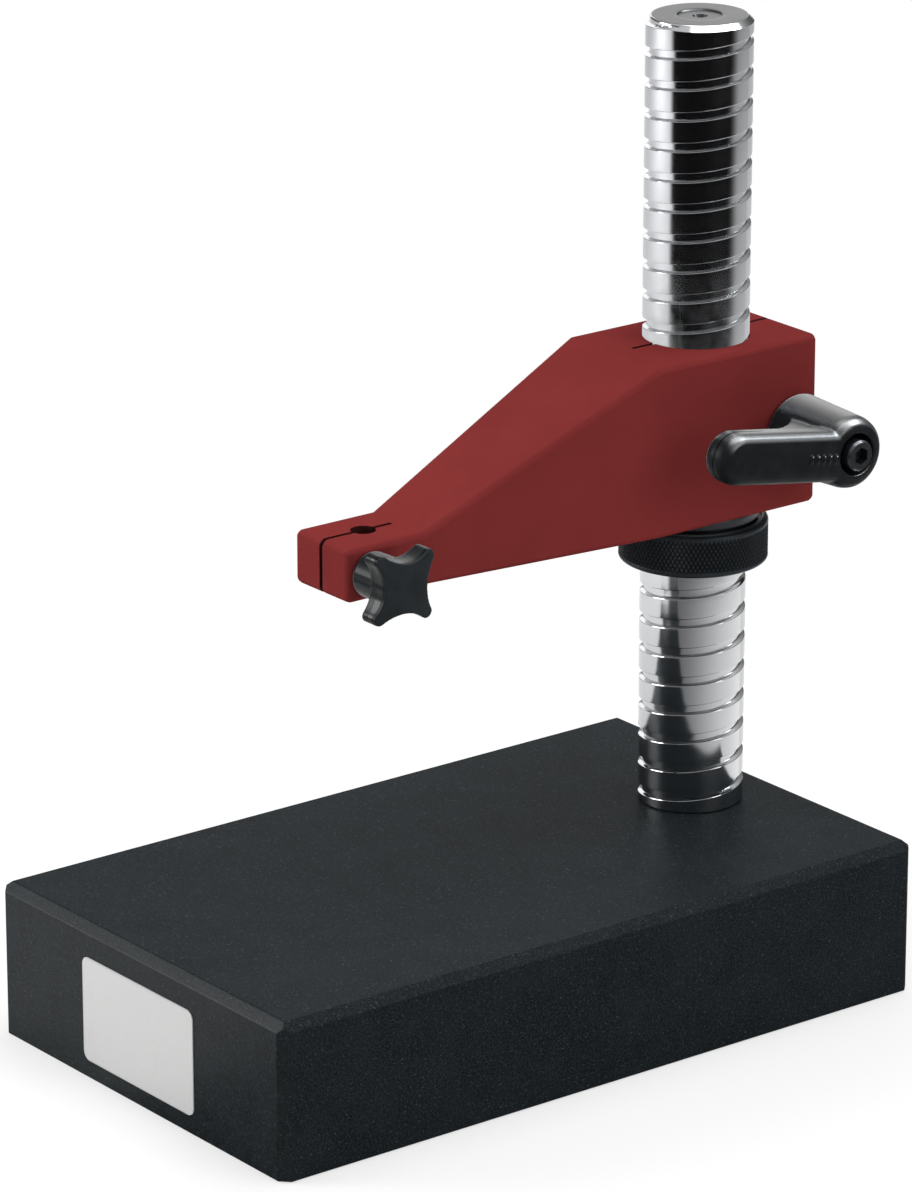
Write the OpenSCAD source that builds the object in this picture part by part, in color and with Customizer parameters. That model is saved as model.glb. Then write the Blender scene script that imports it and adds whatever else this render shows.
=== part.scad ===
// Comparator stand: a stone plate, a helically grooved column and a clamping arm for a gauge.
// Millimetres. +Z is up, the origin is the centre of the plate's underside, the arm points to -Y.

/* [Plate] */
// Plate size from front to rear
plate_length = 250; // [200:5:400]
// Plate size from side to side
plate_width = 150; // [100:5:250]
// Plate thickness
plate_height = 51; // [40:1:80]
// Chamfer along the top and the upright edges
plate_chamfer = 3; // [1:0.5:6]
// Label width on the front face
label_width = 58.5; // [30:0.5:80]
// Label height on the front face
label_height = 34.5; // [20:0.5:40]
// Label thickness
label_thickness = 0.3; // [0.1:0.1:1]

/* [Column] */
// Column diameter
column_d = 34; // [30:0.5:40]
// Column height above the plate
column_height = 260; // [200:5:400]
// Column axis to the plate's rear face
column_setback = 31; // [25:1:60]
// Rise of the groove in one turn
groove_pitch = 9.8; // [8:0.1:12]
// Groove width at the column's surface
groove_width = 3.2; // [2:0.1:4]
// Groove depth
groove_depth = 1.4; // [0.8:0.1:2]
// Height of the groove above the plate, where it crosses the +X side
groove_phase = 7.2; // [0:0.1:9.8]
// Thread size of the fixing screw under the column
fixing_d = 12; // [8:1:16]

/* [Adjusting nut] */
// Nut diameter over the grip
nut_d = 48; // [44:0.5:60]
// Nut height
nut_height = 15; // [12:0.5:20]
// Thrust ring diameter
ring_d = 42.6; // [40:0.2:46]
// Thrust ring height
ring_height = 3; // [2:0.1:5]

/* [Arm] */
// Plate surface to the arm's underside, as shown
arm_clearance = 100.2; // [40:0.2:180]
// Column axis to the gauge bore's axis
arm_reach = 132; // [100:1:200]
// Block height round the column
block_height = 56; // [45:1:70]
// Block width
block_width = 46.4; // [44:0.2:60]
// Nose height
nose_height = 17.4; // [14:0.2:24]
// Nose width
nose_width = 27.8; // [22:0.2:36]
// Edge rounding of the arm
arm_edge = 2.5; // [1:0.1:3]
// Gauge bore diameter
gauge_d = 8; // [6:0.5:12]
// Width of the clamping slits
slit_width = 1.5; // [1:0.1:3]

/* [Clamping lever] */
// Lever axis behind the column axis
lever_setback = 22.2; // [22:0.1:26]
// Lever axis above the arm's underside
lever_rise = 24.9; // [20:0.1:36]
// Hub diameter at its outer end
hub_d = 23.6; // [20:0.2:26]
// Hub diameter at the arm's side
hub_foot_d = 26; // [22:0.2:28]
// Hub end to the arm's side
hub_length = 30; // [27:0.5:34]
// Lever axis to the tip of the handle
lever_length = 55; // [45:1:75]
// Handle height
handle_height = 16.8; // [14:0.2:20]
// Handle thickness
handle_thickness = 11.5; // [9:0.5:13]
// Angle of the handle above the horizontal, as shown
lever_angle = 9.4; // [0:0.2:30]
// Travel of the handle when it is pulled off its teeth
pull_travel = 3.5; // [3.2:0.1:4]

/* [Cross knob] */
// Knob axis in front of the gauge bore's axis
knob_offset = 7.9; // [7.8:0.1:10]
// Diameter over the four lobes
knob_d = 29.4; // [26:0.2:40]
// Knob front to the nose's side
knob_length = 19.2; // [17:0.2:24]
// Knob hub diameter
knob_hub_d = 14.6; // [12:0.2:16]
// Turn of the lobes about the knob's axis, as shown
knob_angle = 3.4; // [0:0.2:45]

/* [Hidden] */
$fn = 72;
eps = 0.01;                 // overlap that keeps cuts clean
running_gap = 0.05;         // radial gap of parts that turn or slide on each other
free_gap = 0.4;             // radial gap of parts that pass each other freely
helix_steps = 20;           // straight pieces in one turn of the groove
ball_fn = 16;               // facets round an edge rounding

// Plate and its fixing
label_drop = 2.2;           // label's centre below mid height
label_corner = 3;
bush_r = 10;                // bush bonded into the stone
pocket_r = 16;              // pocket for the screw head, under the plate
fixing_sink = 16;           // depth of that pocket
fixing_grip = 22;           // thread engaged in the column
fixing_r = fixing_d / 2;
washer_r = 14;
washer_height = 2.5;

// Column and its groove
column_y = plate_length / 2 - column_setback;
column_r = column_d / 2;
column_chamfer = 1.8;
foot_chamfer = 0.5;
face_r = 7.2;               // shallow recess in the column's top face
face_depth = 0.5;
centre_r = 1.2;             // centre hole in that recess
centre_depth = 7;
groove_floor_r = column_r - groove_depth;
groove_z = plate_height + groove_phase;

// Arm
arm_z = plate_height + arm_clearance;
arm_top = arm_z + block_height;
nose_top = arm_z + nose_height;
bore_y = column_y - arm_reach;
nose_overhang = 16.2;       // nose's front face in front of the gauge bore's axis
slope_offset = 14;          // foot of the slope behind the gauge bore's axis
block_front = 32.5;         // block's front face in front of the column's axis
block_back = 31.4;          // block's rear face behind the column's axis
nose_front = bore_y - nose_overhang;
slope_foot = bore_y + slope_offset;
slope_top = column_y - block_front;
block_rear = column_y + block_back;
nose_slit = 10.8;           // slit beyond the gauge bore's axis
front_slit = 9;             // slit in front of the column

// Nut and thrust ring
ring_z = arm_z - ring_height;
nut_z = ring_z - nut_height;
nut_bore_r = column_r + free_gap;
nut_groove = 1.4;           // width and depth of the groove round the nut's top face
rib_start = 2.4;            // start of the nut's rib above its lower face

// Clamping lever, measured from the arm's side
lever_y = column_y + lever_setback;
lever_z = arm_z + lever_rise;
stud_r = 3;
stud_end = 5;               // stud inside the toothed insert
insert_r = 4.2;
jaw_start = 7;              // threaded insert to the middle of the rear slit
lever_washer_h = 1.6;
lever_washer_r = 8.2;       // lies inside the hub's mouth
lever_screw_r = 3;
screw_start = 6;            // thread of the screw inside the toothed insert
head_r = 5;
head_height = 6.4;
head_sink = 4.5;            // underside of the screw's head below the hub's end
head_z = hub_length - head_sink;
tooth_count = 24;
tooth_tip_r = 7.6;
tooth_root_r = 6.6;
tooth_root_half = 0.62;     // half width of a tooth at its root
tooth_tip_half = 0.2;       // half width of a tooth at its tip
tooth_gap = 0.35;
tooth_start = 5.4;
tooth_length = 3;
tooth_end = tooth_start + tooth_length;
web_start = tooth_end + pull_travel + 1.6;
web_end = web_start + 3.5;
recess_r = 6.8;

// Cross knob, measured from the nose's side
knob_y = bore_y - knob_offset;
knob_z = arm_z + nose_height / 2;
knob_stud_r = 2.5;
knob_stud_end = 13.6;       // stud inside the knob's bush
knob_bush_r = 4.2;
knob_bush_start = 0.2;
knob_bush_length = 14;
nose_insert_r = 3.3;
nose_jaw_start = 5;         // threaded insert to the middle of the nose slit

// A closed band swept along a helix about Z; the section is a list of [radius, height] points.
module helix_band(section, pitch, start_angle, end_angle, z_at_zero, steps_per_turn) {
    count = len(section);
    steps = ceil((end_angle - start_angle) / 360 * steps_per_turn);
    points = [
        for (i = [0 : steps])
            let (a = start_angle + (end_angle - start_angle) * i / steps)
                for (p = section)
                    [p[0] * cos(a), p[0] * sin(a), p[1] + z_at_zero + pitch * a / 360]
    ];
    sides = [
        for (i = [0 : steps - 1])
            for (k = [0 : count - 1])
                let (n = (k + 1) % count, b = i * count, t = (i + 1) * count)
                    each [[b + n, b + k, t + k], [b + n, t + k, t + n]]
    ];
    first = [[for (k = [0 : count - 1]) k]];
    last = [[for (k = [count - 1 : -1 : 0]) steps * count + k]];
    polyhedron(points, concat(sides, first, last));
}

// A ring or tube about Z.
module tube(outer_r, inner_r, height) {
    difference() {
        cylinder(r = outer_r, h = height);
        translate([0, 0, -eps])
            cylinder(r = inner_r, h = height + 2 * eps);
    }
}

// Moves children to the column axis.
module at_column(z = 0) {
    translate([0, column_y, z])
        children();
}

// Turns children so that their Z axis leaves the arm's +X side at the clamping lever.
module at_lever() {
    translate([block_width / 2, lever_y, lever_z])
        rotate([0, 90, 0])
            children();
}

// Turns children so that their Z axis leaves the nose's +X side at the cross knob.
module at_knob() {
    translate([nose_width / 2, knob_y, knob_z])
        rotate([0, 90, 0])
            children();
}

// A flat outline with round corners.
module round_rectangle(width, height, corner) {
    square([width - 2 * corner, height], center = true);
    square([width, height - 2 * corner], center = true);
    for (x = [-1, 1])
        for (y = [-1, 1])
            translate([x * (width / 2 - corner), y * (height / 2 - corner)])
                circle(r = corner);
}

// The plate's section with chamfered top edges, across a width.
module plate_section(width) {
    w = width / 2;
    c = plate_chamfer;
    h = plate_height;
    polygon([[-w, 0], [w, 0], [w, h - c], [w - c, h], [-w + c, h], [-w, h - c]]);
}

module granite_plate() {
    c = plate_chamfer;
    w = plate_width / 2;
    l = plate_length / 2;
    color([0.16, 0.17, 0.18])
        difference() {
            intersection() {
                linear_extrude(plate_height)
                    polygon([
                        [-w + c, -l], [w - c, -l], [w, -l + c], [w, l - c],
                        [w - c, l], [-w + c, l], [-w, l - c], [-w, -l + c]
                    ]);
                rotate([90, 0, 0])
                    linear_extrude(plate_length, center = true)
                        plate_section(plate_width);
                rotate([90, 0, 90])
                    linear_extrude(plate_width, center = true)
                        plate_section(plate_length);
            }
            at_column(-eps) {
                cylinder(r = bush_r, h = plate_height + 2 * eps);
                cylinder(r = pocket_r, h = fixing_sink + eps);
            }
        }
}

module name_plate() {
    color([0.93, 0.93, 0.91])
        translate([0, -plate_length / 2, plate_height / 2 - label_drop])
            rotate([90, 0, 0])
                linear_extrude(label_thickness)
                    round_rectangle(label_width, label_height, label_corner);
}

module column_bush() {
    color([0.55, 0.56, 0.58])
        at_column(fixing_sink)
            tube(bush_r, fixing_r + free_gap, plate_height - fixing_sink);
}

module column() {
    r = column_r;
    h = column_height;
    c = column_chamfer;
    first_turn = -(groove_phase + groove_width) / groove_pitch * 360;
    last_turn = (h - groove_phase + groove_width) / groove_pitch * 360;
    color([0.80, 0.81, 0.82])
        at_column()
            difference() {
                translate([0, 0, plate_height])
                    rotate_extrude()
                        polygon([
                            [0, 0], [r - foot_chamfer, 0], [r, foot_chamfer], [r, h - c], [r - c, h],
                            [face_r, h], [face_r - 0.4, h - face_depth], [2 * centre_r, h - face_depth],
                            [centre_r, h - face_depth - 2], [centre_r, h - centre_depth],
                            [0, h - centre_depth]
                        ]);
                helix_band(
                    [
                        [groove_floor_r, -groove_width * 0.34], [groove_floor_r, groove_width * 0.34],
                        [r + 0.6, groove_width * 0.55], [r + 0.6, -groove_width * 0.55]
                    ],
                    groove_pitch, first_turn, last_turn, groove_z, helix_steps
                );
                translate([0, 0, plate_height - eps])
                    cylinder(r = fixing_r, h = fixing_grip + 4);
            }
}

module column_washer() {
    color([0.62, 0.63, 0.65])
        at_column(fixing_sink - washer_height)
            tube(washer_r, fixing_r + free_gap, washer_height);
}

module column_screw() {
    washer_z = fixing_sink - washer_height;
    head_bottom = washer_z - fixing_d;
    color([0.20, 0.20, 0.21])
        at_column()
            difference() {
                union() {
                    translate([0, 0, head_bottom])
                        cylinder(r = fixing_d * 0.75, h = fixing_d);
                    translate([0, 0, washer_z - eps])
                        cylinder(r = fixing_r, h = plate_height + fixing_grip - washer_z);
                }
                translate([0, 0, head_bottom - eps])
                    cylinder(d = fixing_d * 0.83 / cos(30), h = fixing_d / 2, $fn = 6);
            }
}

module adjusting_nut() {
    r = nut_d / 2;
    h = nut_height;
    g = nut_groove;
    rib_angle = (nut_z - groove_z + rib_start) / groove_pitch * 360;
    rib_floor_r = groove_floor_r + free_gap + 0.15;
    color([0.13, 0.14, 0.15])
        at_column() {
            translate([0, 0, nut_z])
                rotate_extrude()
                    polygon([
                        [nut_bore_r, 0.6], [nut_bore_r + 0.6, 0], [r - 1.5, 0], [r, 1.2], [r, h - 2.4],
                        [r - 2.2, h - 0.4], [r - 2.4, h - g], [r - 1 - 1.7 * g, h - g],
                        [r - 1.2 - 1.7 * g, h], [nut_bore_r, h]
                    ]);
            helix_band(
                [
                    [rib_floor_r, -groove_width * 0.2], [rib_floor_r, groove_width * 0.2],
                    [nut_bore_r + 0.9, groove_width * 0.34], [nut_bore_r + 0.9, -groove_width * 0.34]
                ],
                groove_pitch, rib_angle, rib_angle + 360, groove_z, helix_steps
            );
        }
}

module thrust_ring() {
    r = ring_d / 2;
    b = nut_bore_r;
    h = ring_height;
    color([0.22, 0.23, 0.24])
        at_column(ring_z)
            rotate_extrude()
                polygon([[b, 0], [r - 0.5, 0], [r, 0.5], [r, h - 0.4], [r - 0.4, h], [b, h]]);
}

// Two rounded corner balls, left and right, at one station of the arm.
module ball_pair(half_width, y, z) {
    ball_r = arm_edge / cos(90 / (ball_fn / 2));
    for (side = [-1, 1])
        translate([side * (half_width - arm_edge), y, z])
            sphere(r = ball_r, $fn = ball_fn);
}

module arm_body() {
    e = arm_edge;
    nose_w = nose_width / 2;
    block_w = block_width / 2;
    hull() {
        for (y = [nose_front + e, slope_foot])
            for (z = [arm_z + e, nose_top - e])
                ball_pair(nose_w, y, z);
    }
    hull() {
        for (z = [arm_z + e, nose_top - e])
            ball_pair(nose_w, slope_foot, z);
        for (y = [slope_top, block_rear - e])
            for (z = [arm_z + e, arm_top - e])
                ball_pair(block_w, y, z);
    }
}

module support_arm() {
    front_slit_y = column_y - column_r - front_slit;
    color([0.55, 0.16, 0.15])
        difference() {
            arm_body();
            at_column(arm_z - eps)
                cylinder(r = column_r + running_gap, h = block_height + 2 * eps);
            translate([0, bore_y, arm_z - eps])
                cylinder(r = gauge_d / 2, h = nose_height + 2 * eps);
            // slit of the nose, through the gauge bore
            translate([-slit_width / 2, nose_front - eps, arm_z - eps])
                cube([slit_width, bore_y - nose_front + nose_slit, nose_height + 2 * eps]);
            // slit of the block, from a short stub in front of the column out through the rear
            translate([-slit_width / 2, front_slit_y, arm_z - eps])
                cube([slit_width, block_rear - front_slit_y + eps, block_height + 2 * eps]);
            at_lever() {
                translate([0, 0, -block_width / 2 - jaw_start])
                    cylinder(r = stud_r + 0.5, h = block_width);
                translate([0, 0, -block_width - eps])
                    cylinder(r = insert_r, h = block_width / 2 - jaw_start + eps);
            }
            at_knob() {
                translate([0, 0, -nose_width / 2 - nose_jaw_start])
                    cylinder(r = knob_stud_r + free_gap, h = nose_width);
                translate([0, 0, -nose_width - eps])
                    cylinder(r = nose_insert_r, h = nose_width / 2 - nose_jaw_start + eps);
            }
        }
}

module rear_thread_insert() {
    color([0.72, 0.66, 0.42])
        at_lever()
            translate([0, 0, -block_width + 1])
                tube(insert_r, stud_r + running_gap, block_width / 2 - jaw_start - 1);
}

module nose_thread_insert() {
    color([0.72, 0.66, 0.42])
        at_knob()
            translate([0, 0, -nose_width + 1])
                tube(nose_insert_r, knob_stud_r + running_gap, nose_width / 2 - nose_jaw_start - 1);
}

// Outline of the serration shared by the handle and its insert, grown by a gap.
module serration(grow) {
    root = tooth_root_half + grow;
    tip = tooth_tip_half + grow;
    circle(r = tooth_root_r + grow);
    for (i = [0 : tooth_count - 1])
        rotate([0, 0, 360 / tooth_count * i])
            polygon([
                [0, -root], [tooth_root_r, -root], [tooth_tip_r + grow, -tip],
                [tooth_tip_r + grow, tip], [tooth_root_r, root], [0, root]
            ]);
}

// A disc with rounded rims, used at both ends of the handle.
module rounded_disc(radius, thickness, edge) {
    for (z = [edge, thickness - edge])
        translate([0, 0, z])
            rotate_extrude($fn = 40)
                translate([radius - edge, 0])
                    circle(r = edge, $fn = 16);
}

module lever_handle() {
    r = hub_d / 2;
    foot_r = hub_foot_d / 2;
    end_round = 4.3;        // rounding of the hub's outer rim, in three facets
    handle_z = hub_length - handle_thickness;
    handle_drop = 1.1;      // handle's middle line below the hub's axis
    tip = lever_length - handle_height / 2;
    disc_edge = 4;
    flare_r = 28;           // hollow under the handle
    flare_reach = 32;
    flare_root = 6;         // start of the flare, from the hub's axis
    flare_half = handle_height / 2 - 1.7;
    flare_root_half = r - 3.8;
    rib_count = 5;          // grip ribs on the handle's face
    rib_width = 2.6;
    rib_step = 2.55;
    rib_reach = 9.4;        // hub's axis to the first rib
    color([0.20, 0.21, 0.23])
        at_lever()
            difference() {
                union() {
                    rotate_extrude()
                        polygon([
                            [0, 0.6], [foot_r - 0.7, 0.6], [foot_r, 1.3],
                            for (a = [0 : 30 : 90]) [
                                r - end_round * (1 - cos(a)),
                                hub_length - end_round * (1 - sin(a))
                            ],
                            [0, hub_length]
                        ]);
                    rotate([0, 0, -lever_angle])
                        translate([handle_drop, 0, 0]) {
                            translate([0, 0, handle_z])
                                hull() {
                                    rounded_disc(handle_height / 2, handle_thickness, disc_edge);
                                    translate([0, -tip, 0])
                                        rounded_disc(handle_height / 2, handle_thickness, disc_edge);
                                }
                            difference() {
                                translate([0, 0, tooth_end])
                                    linear_extrude(handle_z - tooth_end + 3)
                                        polygon([
                                            [-flare_half, -flare_reach], [flare_half, -flare_reach],
                                            [flare_root_half, -flare_root], [-flare_root_half, -flare_root]
                                        ]);
                                translate([0, -flare_reach, handle_z - flare_r])
                                    rotate([0, 90, 0])
                                        cylinder(r = flare_r, h = 2 * hub_d, center = true);
                            }
                            for (i = [0 : rib_count - 1])
                                translate([-rib_width / 2, -rib_reach - rib_step * i, hub_length - 0.5])
                                    cube([rib_width, 1, 1]);
                        }
                }
                translate([0, 0, -eps])
                    cylinder(r = tooth_tip_r + 1, h = tooth_start + eps);
                translate([0, 0, tooth_start - eps])
                    linear_extrude(tooth_length + 0.2)
                        serration(tooth_gap);
                translate([0, 0, tooth_end])
                    cylinder(r = tooth_tip_r + 1, h = web_start - tooth_end);
                cylinder(r = lever_screw_r + free_gap, h = hub_length);
                translate([0, 0, web_end])
                    cylinder(r = recess_r, h = hub_length);
            }
}

module lever_insert() {
    color([0.50, 0.50, 0.52])
        at_lever()
            difference() {
                union() {
                    translate([0, 0, lever_washer_h])
                        cylinder(r = tooth_tip_r + 0.4, h = tooth_start - lever_washer_h - free_gap);
                    translate([0, 0, tooth_start - free_gap - eps])
                        linear_extrude(tooth_length + free_gap + eps)
                            serration(0);
                    cylinder(r = stud_r + 0.5, h = lever_washer_h + eps);
                    translate([0, 0, tooth_end - eps])
                        cylinder(r = lever_screw_r + 2, h = web_start - free_gap - tooth_end);
                }
                translate([0, 0, -eps])
                    cylinder(r = stud_r, h = stud_end);
                translate([0, 0, screw_start])
                    cylinder(r = lever_screw_r, h = hub_length);
            }
}

module lever_stud() {
    color([0.62, 0.62, 0.64])
        at_lever()
            translate([0, 0, -block_width + 3])
                cylinder(r = stud_r, h = block_width - 3 + stud_end - eps);
}

module lever_washer() {
    color([0.62, 0.62, 0.64])
        at_lever()
            tube(lever_washer_r, stud_r + 0.5 + running_gap, lever_washer_h);
}

module lever_spring() {
    wire_r = 0.45;
    coil_r = 4.6;
    turns = 4;
    length = head_z - web_end - 2 * wire_r;
    section = [for (k = [7 : -1 : 0]) [coil_r + wire_r * cos(45 * k), wire_r * sin(45 * k)]];
    color([0.75, 0.76, 0.78])
        at_lever()
            helix_band(section, length / turns, 0, 360 * turns, web_end + wire_r, 16);
}

module lever_screw() {
    h = head_height;
    start = screw_start + 1;
    color([0.16, 0.16, 0.17])
        at_lever()
            difference() {
                union() {
                    translate([0, 0, head_z])
                        rotate_extrude()
                            polygon([[0, 0], [head_r, 0], [head_r, h - 0.8], [head_r - 0.6, h], [0, h]]);
                    translate([0, 0, start])
                        cylinder(r = lever_screw_r, h = head_z - start + eps);
                }
                translate([0, 0, head_z + h / 2])
                    cylinder(d = head_r / cos(30), h = h, $fn = 6);
            }
}

module cross_knob() {
    lobe_r = 2;
    lobe_at = (knob_d / 2 - lobe_r) / sqrt(2);
    waist = 8;              // knob's axis to the middle of a bite
    // bite circle that passes the waist and touches the lobe circles
    inner = waist - lobe_r;
    bite_at = (2 * lobe_at * lobe_at - inner * inner) / (2 * (lobe_at - inner));
    bite_r = bite_at - waist;
    // disc through the points where bites and lobes touch
    touch = lobe_r / (bite_r + lobe_r);
    core_r = norm([lobe_at + touch * (bite_at - lobe_at), lobe_at * (1 - touch)]);
    body_z = knob_length - 8.2;
    dome_r = 60;
    color([0.11, 0.12, 0.13])
        at_knob()
            rotate([0, 0, -knob_angle])
                difference() {
                    union() {
                        rotate_extrude()
                            polygon([
                                [0, 0.4], [knob_hub_d / 2 - 0.6, 0.4], [knob_hub_d / 2, 1],
                                [knob_hub_d / 2 + 0.3, body_z + 1], [0, body_z + 1]
                            ]);
                        intersection() {
                            translate([0, 0, body_z])
                                linear_extrude(knob_length - body_z) {
                                    difference() {
                                        circle(r = core_r);
                                        for (i = [0 : 3])
                                            rotate([0, 0, 90 * i])
                                                translate([bite_at, 0])
                                                    circle(r = bite_r);
                                    }
                                    for (i = [0 : 3])
                                        rotate([0, 0, 90 * i])
                                            translate([lobe_at, lobe_at])
                                                circle(r = lobe_r);
                                }
                            translate([0, 0, knob_length - dome_r])
                                sphere(r = dome_r, $fn = 180);
                        }
                    }
                    translate([0, 0, -eps])
                        cylinder(r = knob_bush_r, h = knob_bush_start + knob_bush_length + 0.2);
                }
}

module knob_bush() {
    color([0.78, 0.68, 0.40])
        at_knob()
            translate([0, 0, knob_bush_start])
                tube(knob_bush_r, knob_stud_r, knob_bush_length);
}

module knob_stud() {
    color([0.62, 0.62, 0.64])
        at_knob()
            translate([0, 0, -nose_width + 2.5])
                cylinder(r = knob_stud_r, h = nose_width - 2.5 + knob_stud_end);
}

granite_plate();
name_plate();
column_bush();
column();
column_washer();
column_screw();
adjusting_nut();
thrust_ring();
support_arm();
rear_thread_insert();
nose_thread_insert();
lever_handle();
lever_insert();
lever_stud();
lever_washer();
lever_spring();
lever_screw();
cross_knob();
knob_bush();
knob_stud();
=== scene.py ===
"""Dresses the comparator stand: stone plate, grooved column, knurled nut, clamping arm, lever and knob.

Sizes in the classes are millimetres in the model's frame, and every mesh is written in metres. The
studio's lamps and camera are placed in metres.
"""

import functools
import logging
import math
import operator
from dataclasses import dataclass
from enum import Enum, IntEnum
from typing import Any, Dict, Optional, Sequence, Tuple, Union

import bmesh
import bpy
import numpy as np
from mathutils import Matrix, Vector


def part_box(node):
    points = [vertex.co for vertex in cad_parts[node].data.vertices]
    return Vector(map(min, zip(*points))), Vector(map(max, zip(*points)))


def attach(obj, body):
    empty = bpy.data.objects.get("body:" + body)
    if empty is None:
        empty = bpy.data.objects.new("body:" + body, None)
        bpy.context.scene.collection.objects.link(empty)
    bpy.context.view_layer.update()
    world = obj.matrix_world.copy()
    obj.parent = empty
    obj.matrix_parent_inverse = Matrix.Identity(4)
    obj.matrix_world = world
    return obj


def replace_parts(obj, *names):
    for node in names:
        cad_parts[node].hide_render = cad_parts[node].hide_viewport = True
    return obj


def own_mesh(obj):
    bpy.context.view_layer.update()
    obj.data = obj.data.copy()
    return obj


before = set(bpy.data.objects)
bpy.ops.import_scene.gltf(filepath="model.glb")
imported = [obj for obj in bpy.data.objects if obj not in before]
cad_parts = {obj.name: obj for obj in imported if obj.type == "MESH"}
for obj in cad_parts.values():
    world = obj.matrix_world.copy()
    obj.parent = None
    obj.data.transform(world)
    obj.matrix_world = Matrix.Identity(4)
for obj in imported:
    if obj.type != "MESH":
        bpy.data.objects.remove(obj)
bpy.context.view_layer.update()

MM = 0.001
WELD = 2e-6
SLIVER = 1e-6
COLUMN_AXIS = (0.0, 94.0, 0.0)
GAUGE_AXIS = (0.0, -38.0, 0.0)
LEVER_AXIS = (0.0, 116.2, 176.1)
KNOB_FACE = (33.1, -45.9, 159.9)
LOG = logging.getLogger("comparator_stand")

Numbers = Tuple[float, ...]
Input = Union["Value", float, Numbers]
Sockets = Dict[Union[int, str], Input]


class Axis(IntEnum):
    """The frame's axes, as places in a vector."""

    X = 0
    Y = 1
    Z = 2


class Ray(Enum):
    """The kinds of ray that the studio's materials tell apart."""

    CAMERA = "Is Camera Ray"
    GLOSSY = "Is Glossy Ray"


class Value:
    """A number socket that turns Python arithmetic into Math nodes."""

    def __init__(self, shader: "Shader", socket: Optional[bpy.types.NodeSocket]) -> None:
        """Remember the socket and the shader that owns it."""
        self.shader = shader
        self.socket = socket

    def _math(self, operation: str, *terms: Input) -> "Value":
        """Add one Math node.

        Args:
            operation: The Math node's operation.
            terms: Its inputs in order.

        Returns:
            The node's result.
        """
        return self.shader.add("ShaderNodeMath", {"operation": operation}, dict(enumerate(terms)))

    def __add__(self, other: Input) -> "Value":
        """Sum."""
        return self._math("ADD", self, other)

    def __radd__(self, other: Input) -> "Value":
        """Sum with a number on the left."""
        return self._math("ADD", other, self)

    def __sub__(self, other: Input) -> "Value":
        """Difference."""
        return self._math("SUBTRACT", self, other)

    def __rsub__(self, other: Input) -> "Value":
        """Difference from a number on the left."""
        return self._math("SUBTRACT", other, self)

    def __mul__(self, other: Input) -> "Value":
        """Product."""
        return self._math("MULTIPLY", self, other)

    def __rmul__(self, other: Input) -> "Value":
        """Product with a number on the left."""
        return self._math("MULTIPLY", other, self)

    def __truediv__(self, other: Input) -> "Value":
        """Quotient."""
        return self._math("DIVIDE", self, other)

    def __and__(self, other: Input) -> "Value":
        """The lesser of two numbers, where both masks hold."""
        return self._math("MINIMUM", self, other)

    def __or__(self, other: Input) -> "Value":
        """The greater of two numbers, where either mask holds."""
        return self._math("MAXIMUM", self, other)

    def __abs__(self) -> "Value":
        """Absolute value."""
        return self._math("ABSOLUTE", self)

    def rise(self, low: float, high: float) -> "Value":
        """Smooth step.

        Args:
            low: The number below which the result is 0.
            high: The number above which the result is 1.

        Returns:
            A mask from 0 to 1.
        """
        return self.shader.add(
            "ShaderNodeMapRange",
            {"interpolation_type": "SMOOTHSTEP"},
            {"Value": self, "From Min": low, "From Max": high},
        )

    def fall(self, low: float, high: float) -> "Value":
        """Smooth step from 1 below low to 0 above high."""
        return 1.0 - self.rise(low, high)


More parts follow.
